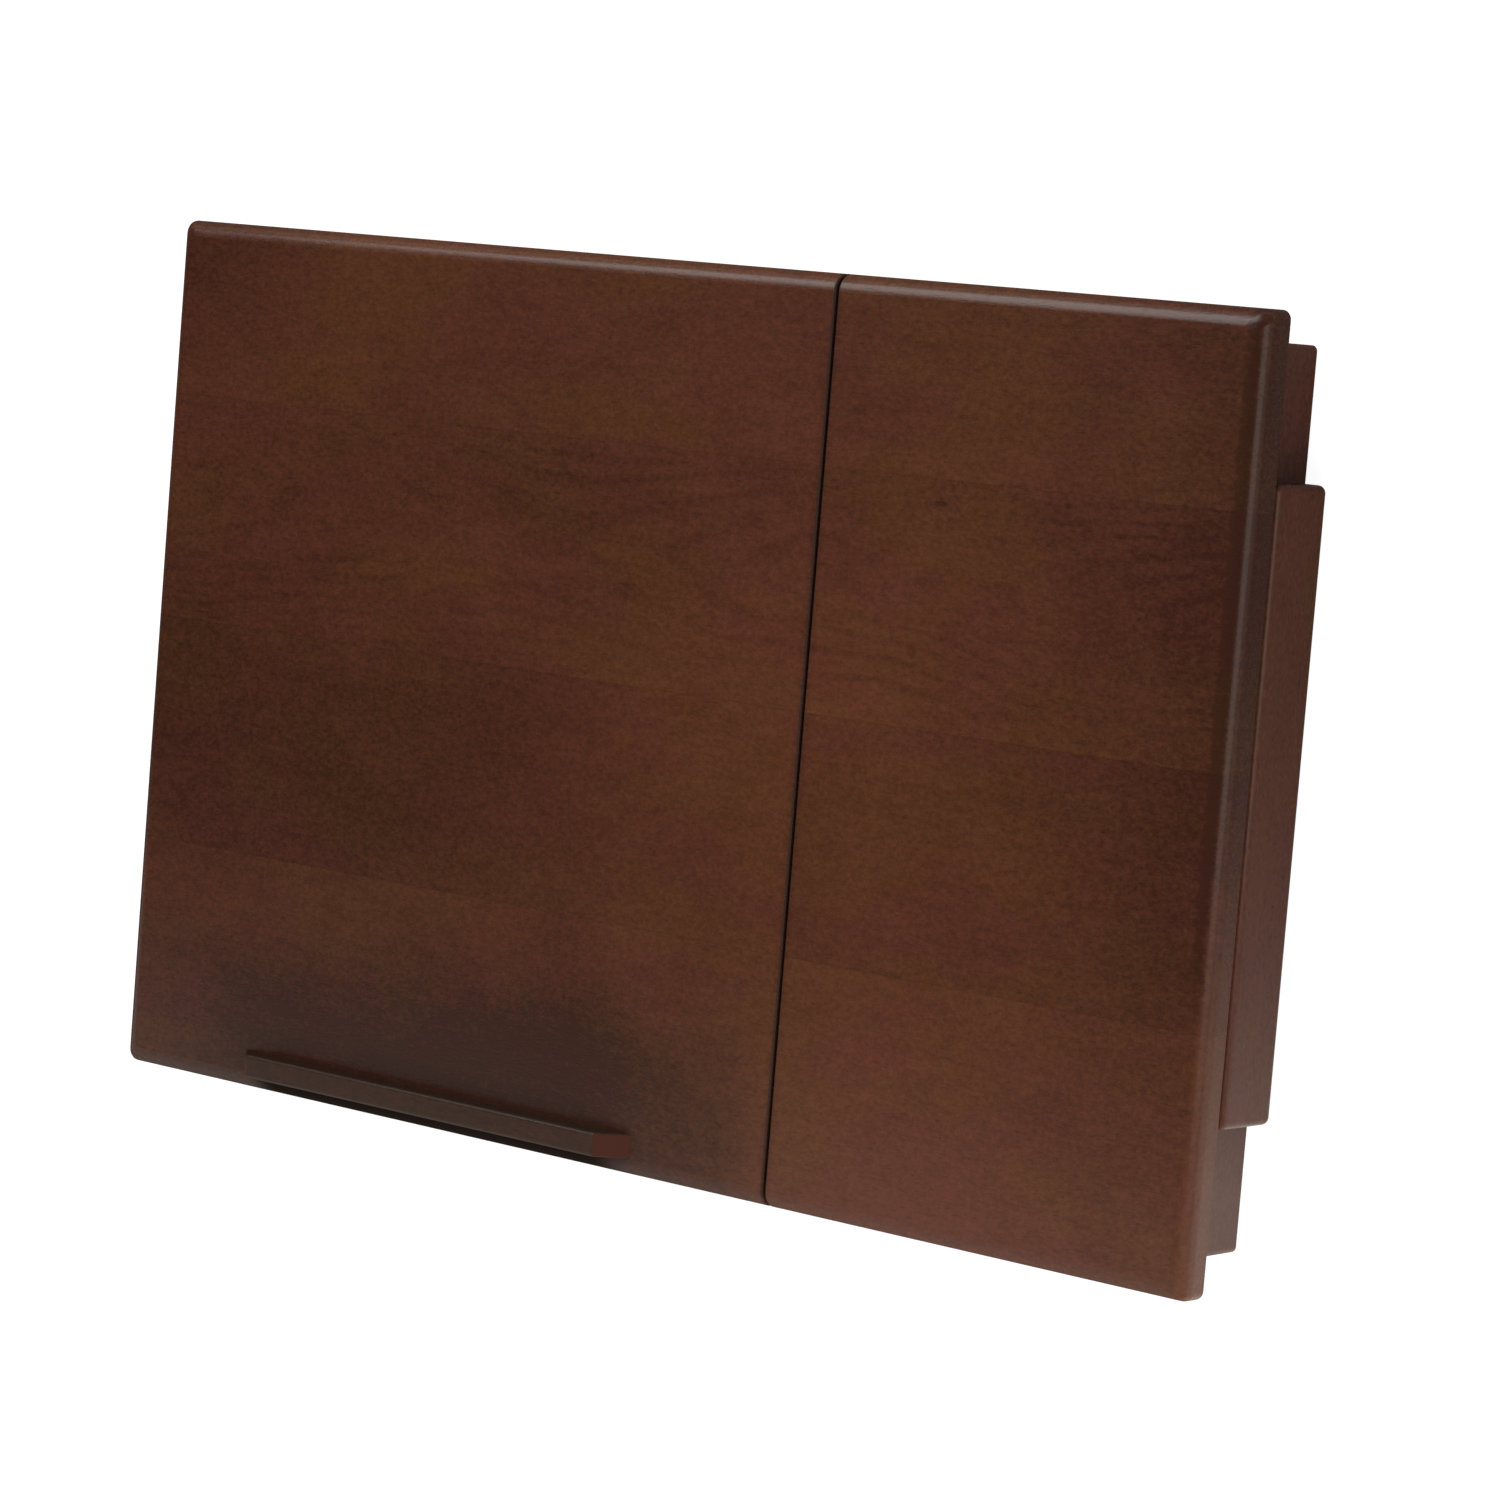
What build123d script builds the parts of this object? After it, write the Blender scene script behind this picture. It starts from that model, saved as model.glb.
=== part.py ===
from build123d import *
from math import cos, radians, sin, sqrt, tan
import os

# Lap desk with a lift lid over a paper compartment, a drawer in its right end and folding legs.
# X runs along the desk towards the drawer, Y from the user's side to the back, Z up.
# The origin is under the middle of the desk, level with the bottom of the aprons.
# The desk is closed: lid down on its aprons, drawer shut, legs folded up between the aprons.
# All sizes are in millimetres and all angles in degrees.

# Top boards
desk_length = 600.0
desk_depth = 389.0
top_thickness = 16.0
top_edge_radius = 7.5
top_lower_edge_chamfer = 1.5
top_corner_radius = 4.0
lid_length = 385.5
split_gap = 1.5
split_edge_chamfer = 0.6

# Book ledge on the lid
ledge_length = 232.5
ledge_width = 10.5
ledge_height = 11.5
ledge_edge_radius = 1.5
ledge_from_front = 7.5
ledge_from_left = 79.5

# Aprons, divider and base board
apron_setback = 13.0
apron_height = 39.0
apron_thickness = 12.0
apron_corner_radius = 2.5
apron_edge_chamfer = 0.8
divider_thickness = 13.0
compartment_depth = 14.0
base_board_thickness = 3.0
groove_depth = 4.0

# Cleats that hold the fixed top
cleat_width = 12.0

# Drawer
drawer_front_end_gap = 54.25
drawer_front_thickness = 13.0
drawer_front_top_gap = 1.5
drawer_front_bottom_gap = 3.5
drawer_front_corner_radius = 3.2
drawer_front_edge_radius = 3.0
drawer_front_overlap = 10.5
drawer_lower_rail_height = 7.4
drawer_upper_rail_height = 4.4
drawer_wall_thickness = 8.0
drawer_bottom_thickness = 3.0
drawer_bottom_recess = 3.0
drawer_groove_depth = 4.0
drawer_edge_radius = 1.0
drawer_clearance = 0.4
guide_thickness = 7.0
guide_flange_thickness = 4.0
guide_side_clearance = 0.5
drawer_stop_thickness = 8.0
drawer_stop_width = 24.0
drawer_stop_overlap = 6.0

# Folding legs
leg_clearance = 1.0
leg_post_width = 22.0
leg_edge_chamfer = 1.2
leg_stop_clearance = 0.5
leg_rail_width = 18.0
leg_tenon_length = 8.0
leg_tenon_shoulder = 4.0
leg_pad_margin = 2.0
leg_pad_chamfer = 3.0
leg_pad_thickness = 2.0
leg_pad_clearance = 1.5
leg_to_drawer_clearance = 4.0
leg_to_washer_clearance = 0.3

# Leg pivots: hexagon-headed bolts with nylon washers
pivot_radius = 3.0
pivot_head_width = 10.0
pivot_head_height = 4.0
pivot_head_clearance = 0.3
pivot_thread_length = 9.0
washer_radius = 8.0
washer_thickness = 1.0

# Lid hinges
hinge_spacing = 260.0
hinge_length = 50.0
hinge_leaf_thickness = 1.2
hinge_leaf_gap = 0.4
hinge_knuckle_radius = 2.4
hinge_pin_radius = 1.1
hinge_knuckle_gap = 0.3
hinge_knuckle_clearance = 0.4
hinge_leaf_margin = 2.0

# Lid prop: a frame that folds flat under the lid, and the notched racks that its foot stands in
lid_open_angle = 50.0
lid_stop_angles = (20.0, 30.0, 40.0, 50.0)
prop_reach = 150.0
prop_width = 130.0
prop_arm_width = 10.0
prop_arm_thickness = 8.0
prop_lid_clearance = 1.5
prop_rail_width = 14.0
prop_rail_offset = 26.0
prop_edge_chamfer = 0.8
prop_foot_tenon_radius = 2.2
prop_pin_radius = 1.8
prop_side_clearance = 0.5
prop_block_length = 22.0
prop_block_width = 14.0
rack_width = 12.0
rack_from_arm = 5.0
rack_floor_thickness = 1.3
rack_end_margin = 12.0
rack_clearance = 0.3
notch_back_slope = 0.25
notch_front_reach = 3.0

# Fits
running_clearance = 0.05


# ---------------------------------------------------------------------------
# Places worked out from the sizes
# ---------------------------------------------------------------------------

# Top boards: two slabs in one plane, with the split over the divider.
half_length = desk_length / 2
half_depth = desk_depth / 2
top_z = (apron_height, apron_height + top_thickness)
lid_x = (-half_length, -half_length + lid_length)
fixed_top_x = (lid_x[1] + split_gap, half_length)
split_middle = (lid_x[1] + fixed_top_x[0]) / 2
ledge_x = (lid_x[0] + ledge_from_left, lid_x[0] + ledge_from_left + ledge_length)
ledge_y = (-half_depth + ledge_from_front, -half_depth + ledge_from_front + ledge_width)

# Apron frame, from outside and from inside.
frame_x = half_length - apron_setback
frame_y = half_depth - apron_setback
inside_x = frame_x - apron_thickness
inside_y = frame_y - apron_thickness
divider_x = (split_middle - divider_thickness / 2, split_middle + divider_thickness / 2)

# Compartment floor, and the space under it that the folded legs fill.
floor_z = apron_height - compartment_depth
base_board_z = (floor_z - base_board_thickness, floor_z)
leg_z = (leg_clearance, base_board_z[0] - leg_clearance)
leg_thickness = leg_z[1] - leg_z[0]

# Legs: each pair turns on an axis along Y, close to the end apron that stops it upright.
pivot_x = inside_x - leg_stop_clearance - leg_thickness / 2
pivot_z = (leg_z[0] + leg_z[1]) / 2
foot_x = divider_x[1] + leg_pad_clearance + leg_pad_thickness
leg_length = pivot_x - foot_x
post_outer_y = inside_y - washer_thickness - leg_to_washer_clearance
post_inner_y = post_outer_y - leg_post_width
leg_rail_x = (foot_x, foot_x + leg_rail_width)

# Drawer: a box behind an overlaid front, in a window that the front covers. The front leaves the
# same room at each end, for the legs that fold up beside the drawer.
drawer_front_width = 2 * (frame_y - drawer_front_end_gap)
drawer_front_z = (drawer_front_bottom_gap, apron_height - drawer_front_top_gap)
drawer_front_x = (frame_x, frame_x + drawer_front_thickness)
window_half_width = drawer_front_width / 2 - drawer_front_overlap
window_z = (drawer_lower_rail_height, apron_height - drawer_upper_rail_height)
box_half_width = window_half_width - drawer_clearance
box_inner_y = box_half_width - drawer_wall_thickness
box_z = (window_z[0] + drawer_clearance, window_z[1] - drawer_clearance)
box_x = (leg_rail_x[1] + leg_to_drawer_clearance, frame_x)
drawer_bottom_z = (
    box_z[0] + drawer_bottom_recess,
    box_z[0] + drawer_bottom_recess + drawer_bottom_thickness,
)
guide_x = (leg_rail_x[1] + leg_to_drawer_clearance / 2, inside_x)
drawer_stop_x = (inside_x - drawer_stop_thickness, inside_x)
drawer_travel = drawer_stop_x[0] - (box_x[0] + drawer_wall_thickness) - drawer_clearance

# Lid hinge: its axis lies in the joint between lid and apron, just in front of the apron.
hinge_y = -frame_y - hinge_knuckle_radius - hinge_knuckle_clearance
hinge_z = apron_height
lid_middle = (lid_x[0] + lid_x[1]) / 2
hinge_middles = (lid_middle - hinge_spacing / 2, lid_middle + hinge_spacing / 2)
hinge_leaf_y = (hinge_y, -inside_y - hinge_leaf_margin)
frame_leaf_z = (hinge_z - hinge_leaf_gap - hinge_leaf_thickness, hinge_z - hinge_leaf_gap)
lid_leaf_z = (hinge_z + hinge_leaf_gap, hinge_z + hinge_leaf_gap + hinge_leaf_thickness)

# Lid prop: equal to its reach from the hinge, and lengthened by what the drop of its pin under
# the lid takes away, so that its foot stands as high at the widest angle as with the lid shut.
prop_drop = prop_arm_thickness / 2 + prop_lid_clearance
prop_length = prop_reach + prop_drop * tan(radians(lid_open_angle / 2))
prop_pin_y = hinge_y + prop_reach
prop_pin_z = apron_height - prop_drop
prop_foot_radius = prop_arm_thickness / 2
prop_arm_outer = prop_width / 2
prop_arm_inner = prop_arm_outer - prop_arm_width
block_inner = prop_arm_outer + prop_side_clearance
block_outer = block_inner + prop_block_width
foot_lowest_z = apron_height - prop_drop / cos(radians(lid_open_angle / 2)) - prop_foot_radius
rack_z = (floor_z, foot_lowest_z - rack_clearance)


def foot_y(lid_angle):
    """How far back the prop's foot stands when the lid is open by an angle."""
    turn = radians(lid_angle)
    return hinge_y + (prop_reach + prop_length) * cos(turn) + prop_drop * sin(turn)


rack_y = (
    foot_y(max(lid_stop_angles)) - rack_end_margin,
    foot_y(min(lid_stop_angles)) + rack_end_margin,
)


# ---------------------------------------------------------------------------
# Shapes used more than once
# ---------------------------------------------------------------------------

def board(x_span, y_span, z_span):
    """A square-cut board, from its low and high values on each axis."""
    spans = (x_span, y_span, z_span)
    middle = [(low + high) / 2 for low, high in spans]
    size = [high - low for low, high in spans]
    return Pos(*middle) * Box(*size)


def rod_x(radius, x_span, y, z):
    """A round rod along X."""
    low, high = x_span
    return Pos((low + high) / 2, y, z) * Rot(0, 90, 0) * Cylinder(radius, high - low)


def rod_y(radius, x, y_span, z):
    """A round rod along Y."""
    low, high = y_span
    return Pos(x, (low + high) / 2, z) * Rot(90, 0, 0) * Cylinder(radius, high - low)


def both_sides(y_span, side):
    """A span given for the back of the desk, moved to the side that is asked for: 1 back, -1 front."""
    return tuple(sorted((side * y_span[0], side * y_span[1])))


def group(pieces):
    """Several separate solids that make one kind of piece."""
    return Compound([solid for piece in pieces for solid in piece.solids()])


def rounded_corner(slab, x, y):
    """A top board with one mitred corner made round, by the same radius all the way up."""
    half_chord = top_corner_radius / sqrt(2)
    reach = 2 * top_edge_radius
    outwards = Vector(1 if x > 0 else -1, 1 if y > 0 else -1, 0)
    plan = Plane(Vector(x, y, 0) - outwards * top_corner_radius, x_dir=outwards, z_dir=(0, 0, 1))
    outline = Polyline(
        (half_chord, -half_chord), (-reach, -half_chord), (-reach, half_chord), (half_chord, half_chord)
    )
    outline += ThreePointArc((half_chord, half_chord), (top_corner_radius, 0), (half_chord, -half_chord))
    section = plan * make_face(outline)

    lean = (Vector(0, 0, 1) + outwards) * top_lower_edge_chamfer
    lower = extrude(Pos(*(-outwards * top_lower_edge_chamfer)) * section, lean.length, dir=lean)
    rounding_z = top_thickness - top_edge_radius
    middle = extrude(
        Pos(0, 0, top_lower_edge_chamfer) * section, rounding_z - top_lower_edge_chamfer
    )
    upright = Plane(plan.origin, x_dir=outwards, z_dir=-plan.y_dir)
    half_width = top_edge_radius * sqrt(2)
    inwards = upright * EllipticalCenterArc(
        (-half_width, rounding_z), half_width, top_edge_radius, start_angle=0, arc_size=90
    )
    upper = sweep(Pos(0, 0, rounding_z) * section, path=inwards, normal=(0, 0, 1))

    band = plan * Box(2 * reach, 2 * half_chord, 3 * top_thickness)
    return slab - band + ((lower + middle + upper) & band)


def top_slab(x_span, outer_x):
    """A top board, round on every edge but the one at the split, which has a light chamfer."""
    slab = board(x_span, (-half_depth, half_depth), (0, top_thickness))
    upper_edges = slab.edges().group_by(Axis.Z)[-1]
    split_edge = upper_edges.sort_by(lambda edge: abs(edge.center().X - outer_x))[-1]
    slab = fillet([edge for edge in upper_edges if edge != split_edge], top_edge_radius)
    lower_edges = slab.edges().group_by(Axis.Z)[0]
    split_edge = lower_edges.sort_by(lambda edge: abs(edge.center().X - outer_x))[-1]
    slab = chamfer([edge for edge in lower_edges if edge != split_edge], top_lower_edge_chamfer)
    for y in (-half_depth, half_depth):
        slab = rounded_corner(slab, outer_x, y)
    split_face = slab.faces().sort_by(lambda face: abs(face.center().X - outer_x))[-1]
    return Pos(0, 0, apron_height) * chamfer(split_face.edges(), split_edge_chamfer)


# ---------------------------------------------------------------------------
# Top boards and book ledge
# ---------------------------------------------------------------------------

def lid_hinge_recess(x):
    """Seat of one hinge in the underside of the lid: the leaf's bed and the knuckles' groove."""
    leaf_x = (x - hinge_length / 2, x + hinge_length / 2)
    groove_x = (leaf_x[0] - hinge_knuckle_gap, leaf_x[1] + hinge_knuckle_gap)
    bed = board(leaf_x, hinge_leaf_y, (hinge_z, lid_leaf_z[1]))
    groove = rod_x(hinge_knuckle_radius + hinge_knuckle_clearance, groove_x, hinge_y, hinge_z)
    return bed + groove


def lid_panel():
    """The lift lid, seated for its hinges in its underside."""
    panel = top_slab(lid_x, lid_x[0])
    for x in hinge_middles:
        panel -= lid_hinge_recess(x)
    return panel


def fixed_top():
    """The top board over the drawer."""
    return top_slab(fixed_top_x, fixed_top_x[1])


def book_ledge():
    """A low bar with bevelled ends that keeps a book on the tilted lid."""
    foot, head = top_z[1], top_z[1] + ledge_height
    outline = Polyline(
        (ledge_x[0], foot),
        (ledge_x[1], foot),
        (ledge_x[1] - ledge_height, head),
        (ledge_x[0] + ledge_height, head),
        close=True,
    )
    bar = extrude(Plane.XZ * make_face(outline), ledge_width / 2, both=True)
    bar = Pos(0, sum(ledge_y) / 2, 0) * bar
    upper_edges = [edge for edge in bar.edges() if edge.center().Z > foot + ledge_edge_radius]
    return fillet(upper_edges, ledge_edge_radius)


# ---------------------------------------------------------------------------
# Aprons, divider and base board
# ---------------------------------------------------------------------------

def apron_ring():
    """The four aprons as one ring, with round corners and chamfered lower edges."""
    outline = RectangleRounded(2 * frame_x, 2 * frame_y, apron_corner_radius)
    outer = extrude(outline, apron_height)
    outer = chamfer(outer.edges().group_by(Axis.Z)[0], apron_edge_chamfer)
    return outer - board((-inside_x, inside_x), (-inside_y, inside_y), (0, apron_height))


def mitred(ring, side):
    """One side of the ring, cut at 45 degrees at both ends: 0 front, 1 right, 2 back, 3 left."""
    outer = [(-frame_x, -frame_y), (frame_x, -frame_y), (frame_x, frame_y), (-frame_x, frame_y)]
    inner = [
        (-inside_x, -inside_y),
        (inside_x, -inside_y),
        (inside_x, inside_y),
        (-inside_x, inside_y),
    ]
    following = (side + 1) % 4
    wedge = Polyline(outer[side], outer[following], inner[following], inner[side], close=True)
    return ring & extrude(make_face(wedge), apron_height)


def base_board():
    """Thin floor of the paper compartment, held in grooves on all four sides."""
    return board(
        (-inside_x - groove_depth, divider_x[0] + groove_depth),
        (-inside_y - groove_depth, inside_y + groove_depth),
        base_board_z,
    )


def centre_divider():
    """Board under the split that carries the edges of both tops."""
    divider = board(divider_x, (-inside_y, inside_y), (0, apron_height))
    return divider - base_board()


def pivot_hole(side_x, side_y):
    """Pilot hole in the front or back apron for one leg pivot's thread."""
    hole_y = both_sides((inside_y, inside_y + pivot_thread_length), side_y)
    return rod_y(pivot_radius, side_x * pivot_x, hole_y, pivot_z)


def long_apron(ring, side_y):
    """The front or back apron, grooved for the base board and drilled for the leg pivots."""
    apron = mitred(ring, 0 if side_y < 0 else 2) - base_board()
    for side_x in (-1, 1):
        apron -= pivot_hole(side_x, side_y)
    return apron


def front_apron(ring):
    """The front apron also takes the frame leaves of the lid hinges in its top edge."""
    apron = long_apron(ring, -1)
    bed_z = (frame_leaf_z[0], hinge_z)
    for x in hinge_middles:
        apron -= board((x - hinge_length / 2, x + hinge_length / 2), hinge_leaf_y, bed_z)
    return apron


def left_apron(ring):
    """The plain end apron, grooved for the base board."""
    return mitred(ring, 3) - base_board()


def drawer_end(ring):
    """The right end: two stiles and two rails around the drawer's window."""
    end = mitred(ring, 1)
    end_x = (inside_x, frame_x)
    window_y = (-window_half_width, window_half_width)
    return {
        "end_stile_front": end & board(end_x, (-frame_y, window_y[0]), (0, apron_height)),
        "end_stile_back": end & board(end_x, (window_y[1], frame_y), (0, apron_height)),
        "drawer_lower_rail": end & board(end_x, window_y, (0, window_z[0])),
        "drawer_upper_rail": end & board(end_x, window_y, (window_z[1], apron_height)),
    }


def top_cleats():
    """Strips along both aprons that hold the fixed top."""
    cleat_x = (divider_x[1], inside_x)
    cleat_y = (inside_y - cleat_width, inside_y)
    cleat_z = (apron_height - cleat_width, apron_height)
    return group([board(cleat_x, both_sides(cleat_y, side), cleat_z) for side in (-1, 1)])


# ---------------------------------------------------------------------------
# Drawer, its guides and its stop
# ---------------------------------------------------------------------------

def drawer_front():
    """Overlaid front, round at its edges and corners. It has no pull: it is drawn by its lower edge."""
    front = board(
        drawer_front_x, (-drawer_front_width / 2, drawer_front_width / 2), drawer_front_z
    )
    front = fillet(front.edges().filter_by(Axis.X), drawer_front_corner_radius)
    return fillet(front.faces().sort_by(Axis.X)[-1].edges(), drawer_front_edge_radius)


def drawer_bottom():
    """Thin drawer bottom, held in grooves in the four walls."""
    reach = box_inner_y + drawer_groove_depth
    inset = drawer_wall_thickness - drawer_groove_depth
    return board((box_x[0] + inset, box_x[1] - inset), (-reach, reach), drawer_bottom_z)


def drawer_side(side):
    """A drawer side with its upper edges eased."""
    wall = board(box_x, both_sides((box_inner_y, box_half_width), side), box_z)
    upper_edges = wall.edges().group_by(Axis.Z)[-1].filter_by(Axis.X)
    return fillet(upper_edges, drawer_edge_radius) - drawer_bottom()


def drawer_back():
    """The back wall, between the sides, with its upper edges eased."""
    back_x = (box_x[0], box_x[0] + drawer_wall_thickness)
    wall = board(back_x, (-box_inner_y, box_inner_y), box_z)
    upper_edges = wall.edges().group_by(Axis.Z)[-1].filter_by(Axis.Y)
    return fillet(upper_edges, drawer_edge_radius) - drawer_bottom()


def drawer_inner_front():
    """The box's own front, which carries the overlaid front."""
    inner_front_x = (box_x[1] - drawer_wall_thickness, box_x[1])
    return board(inner_front_x, (-box_inner_y, box_inner_y), box_z) - drawer_bottom()


def drawer_guide(side):
    """Guide hung from the fixed top: a web beside the drawer side and a flange under it."""
    web_y = (
        box_half_width + guide_side_clearance,
        box_half_width + guide_side_clearance + guide_thickness,
    )
    flange_z = (window_z[0] - guide_flange_thickness, window_z[0])
    web = board(guide_x, both_sides(web_y, side), (flange_z[0], apron_height))
    flange = board(guide_x, both_sides((box_inner_y, web_y[1]), side), flange_z)
    return web + flange


def drawer_kicker(side):
    """Strip over a drawer side that keeps the drawn-out drawer from tipping."""
    strip_y = both_sides((box_inner_y, box_half_width), side)
    return board(guide_x, strip_y, (box_z[1] + drawer_clearance, apron_height))


def drawer_stop():
    """Block under the fixed top that catches the drawer's back wall."""
    stop_y = (-drawer_stop_width / 2, drawer_stop_width / 2)
    return board(drawer_stop_x, stop_y, (box_z[1] - drawer_stop_overlap, apron_height))


# ---------------------------------------------------------------------------
# Folding legs, modelled folded at the right end; the left pair is their mirror image
# ---------------------------------------------------------------------------

def leg_rail():
    """Foot rail between the posts, with a tenon at each end."""
    rail = board(leg_rail_x, (-post_inner_y, post_inner_y), leg_z)
    rail = chamfer(rail.edges().filter_by(Axis.Y), leg_edge_chamfer)
    tenon_x = (leg_rail_x[0] + leg_tenon_shoulder, leg_rail_x[1] - leg_tenon_shoulder)
    tenon_z = (leg_z[0] + leg_tenon_shoulder, leg_z[1] - leg_tenon_shoulder)
    tenon_y = post_inner_y + leg_tenon_length
    return rail + board(tenon_x, (-tenon_y, tenon_y), tenon_z)


def leg_post(side):
    """A post with a round upper end, bored for its pivot and mortised for the rail."""
    post_y = both_sides((post_inner_y, post_outer_y), side)
    post = board((foot_x, pivot_x), post_y, leg_z)
    post += rod_y(leg_thickness / 2, pivot_x, post_y, pivot_z)
    post = chamfer(post.faces().filter_by(Axis.Y).edges(), leg_edge_chamfer)
    post -= rod_y(pivot_radius + running_clearance, pivot_x, post_y, pivot_z)
    return post - leg_rail()


def leg_pads():
    """Rubber pads under the posts, with their corners cut off."""
    pad_y = (post_inner_y + leg_pad_margin, post_outer_y - leg_pad_margin)
    pad_z = (leg_z[0] + leg_pad_margin, leg_z[1] - leg_pad_margin)
    pads = []
    for side in (-1, 1):
        pad = board((foot_x - leg_pad_thickness, foot_x), both_sides(pad_y, side), pad_z)
        pads.append(chamfer(pad.edges().filter_by(Axis.X), leg_pad_chamfer))
    return group(pads)


def pivot_bolt(side):
    """Bolt through the post into the apron, its head just clear of the post's inner side."""
    head_y = post_inner_y - pivot_head_clearance
    shank_y = both_sides((head_y, inside_y + pivot_thread_length), side)
    hexagon = RegularPolygon(pivot_head_width / 2, 6, major_radius=False)
    head = Pos(pivot_x, side * head_y, pivot_z) * Rot(90 * side, 0, 0) * extrude(
        hexagon, pivot_head_height
    )
    return rod_y(pivot_radius, pivot_x, shank_y, pivot_z) + head


def pivot_washer(side):
    """Nylon washer between post and apron."""
    washer_y = both_sides((inside_y - washer_thickness, inside_y), side)
    disc = rod_y(washer_radius, pivot_x, washer_y, pivot_z)
    return disc - rod_y(pivot_radius + running_clearance, pivot_x, washer_y, pivot_z)


def leg_set():
    """The pieces of one pair of legs and of its pivots."""
    return {
        "leg_post_front": leg_post(-1),
        "leg_post_back": leg_post(1),
        "leg_rail": leg_rail(),
        "leg_pads": leg_pads(),
        "leg_pivot_bolts": group([pivot_bolt(-1), pivot_bolt(1)]),
        "leg_washers": group([pivot_washer(-1), pivot_washer(1)]),
    }


# ---------------------------------------------------------------------------
# Lid hinges: three knuckles, the middle one on the lid's leaf
# ---------------------------------------------------------------------------

def knuckle_spans(x):
    """Spans of the three knuckles along one hinge."""
    low = x - hinge_length / 2
    step = (hinge_length - 2 * hinge_knuckle_gap) / 3
    starts = [low + index * (step + hinge_knuckle_gap) for index in range(3)]
    return [(start, start + step) for start in starts]


def hinge_leaf(x, on_lid):
    """One leaf: a plate, its own knuckles, and room for the knuckles of the other leaf."""
    first, middle, last = knuckle_spans(x)
    own, other = ([middle], [first, last]) if on_lid else ([first, last], [middle])
    plate_x = (x - hinge_length / 2, x + hinge_length / 2)
    leaf = board(plate_x, hinge_leaf_y, lid_leaf_z if on_lid else frame_leaf_z)
    room = hinge_knuckle_radius + hinge_knuckle_clearance
    for low, high in other:
        room_x = (low - hinge_knuckle_gap, high + hinge_knuckle_gap)
        leaf -= rod_x(room, room_x, hinge_y, hinge_z)
    bore = hinge_pin_radius + (running_clearance if on_lid else 0)
    for knuckle_x in own:
        leaf += rod_x(hinge_knuckle_radius, knuckle_x, hinge_y, hinge_z)
        leaf -= rod_x(bore, knuckle_x, hinge_y, hinge_z)
    return leaf


def hinge_pins():
    """The pins, held in the outer knuckles of the frame leaves."""
    return group([
        rod_x(hinge_pin_radius, (x - hinge_length / 2, x + hinge_length / 2), hinge_y, hinge_z)
        for x in hinge_middles
    ])


# ---------------------------------------------------------------------------
# Lid prop and racks
# ---------------------------------------------------------------------------

def prop_arm(side):
    """An arm with both ends rounded about their pins."""
    arm_x = tuple(lid_middle + x for x in both_sides((prop_arm_inner, prop_arm_outer), side))
    foot = prop_pin_y + prop_length
    arm_z = (prop_pin_z - prop_arm_thickness / 2, prop_pin_z + prop_arm_thickness / 2)
    arm = board(arm_x, (prop_pin_y, foot), arm_z)
    for y in (prop_pin_y, foot):
        arm += rod_x(prop_arm_thickness / 2, arm_x, y, prop_pin_z)
    arm = chamfer(arm.faces().filter_by(Axis.X).edges(), prop_edge_chamfer)
    arm -= rod_x(prop_pin_radius + running_clearance, arm_x, prop_pin_y, prop_pin_z)
    return arm - rod_x(prop_foot_tenon_radius, arm_x, foot, prop_pin_z)


def prop_rail():
    """Cross rail near the pins, as thick as the arms, that keeps them square."""
    rail_y = (prop_pin_y + prop_rail_offset, prop_pin_y + prop_rail_offset + prop_rail_width)
    rail_x = (lid_middle - prop_arm_inner, lid_middle + prop_arm_inner)
    rail_z = (prop_pin_z - prop_arm_thickness / 2, prop_pin_z + prop_arm_thickness / 2)
    rail = board(rail_x, rail_y, rail_z)
    return chamfer(rail.edges().filter_by(Axis.X), prop_edge_chamfer)


def prop_foot_bar():
    """Round bar that drops into the racks, turned down where it passes through the arms."""
    foot = prop_pin_y + prop_length
    bar_x = (lid_middle - prop_arm_inner, lid_middle + prop_arm_inner)
    tenon_x = (lid_middle - prop_arm_outer, lid_middle + prop_arm_outer)
    bar = rod_x(prop_foot_radius, bar_x, foot, prop_pin_z)
    return bar + rod_x(prop_foot_tenon_radius, tenon_x, foot, prop_pin_z)


def prop_pin_x(side):
    """Span of one prop pin, from the outside of its block to the inside of its arm."""
    return tuple(lid_middle + x for x in both_sides((prop_arm_inner, block_outer), side))


def prop_block(side):
    """Block under the lid that holds one prop pin."""
    block_x = tuple(lid_middle + x for x in both_sides((block_inner, block_outer), side))
    block_y = (prop_pin_y - prop_block_length / 2, prop_pin_y + prop_block_length / 2)
    block_z = (prop_pin_z - prop_arm_thickness / 2, apron_height)
    block = board(block_x, block_y, block_z)
    lower_edges = block.edges().group_by(Axis.Z)[0].filter_by(Axis.X)
    block = chamfer(lower_edges, prop_arm_thickness / 4)
    return block - rod_x(prop_pin_radius, prop_pin_x(side), prop_pin_y, prop_pin_z)


def prop_pins():
    """Steel pins, tight in the blocks and free in the arms."""
    return group([
        rod_x(prop_pin_radius, prop_pin_x(side), prop_pin_y, prop_pin_z) for side in (-1, 1)
    ])


def rack(side):
    """Notched strip on the base board: each notch has a steep back and a long slope in front."""
    inner = prop_arm_inner - rack_from_arm - rack_width
    rack_x = tuple(lid_middle + x for x in both_sides((inner, inner + rack_width), side))
    strip = board(rack_x, rack_y, rack_z)
    notch_floor = rack_z[0] + rack_floor_thickness
    depth = rack_z[1] - notch_floor
    for angle in lid_stop_angles:
        back = foot_y(angle) + prop_foot_radius
        notch = Polyline(
            (back, rack_z[1]),
            (back - depth * notch_back_slope, notch_floor),
            (back - prop_foot_radius, notch_floor),
            (back - notch_front_reach * prop_foot_radius, rack_z[1]),
            close=True,
        )
        cutter = extrude(Plane.YZ * make_face(notch), rack_width / 2, both=True)
        strip -= Pos((rack_x[0] + rack_x[1]) / 2, 0, 0) * cutter
    return strip


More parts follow.
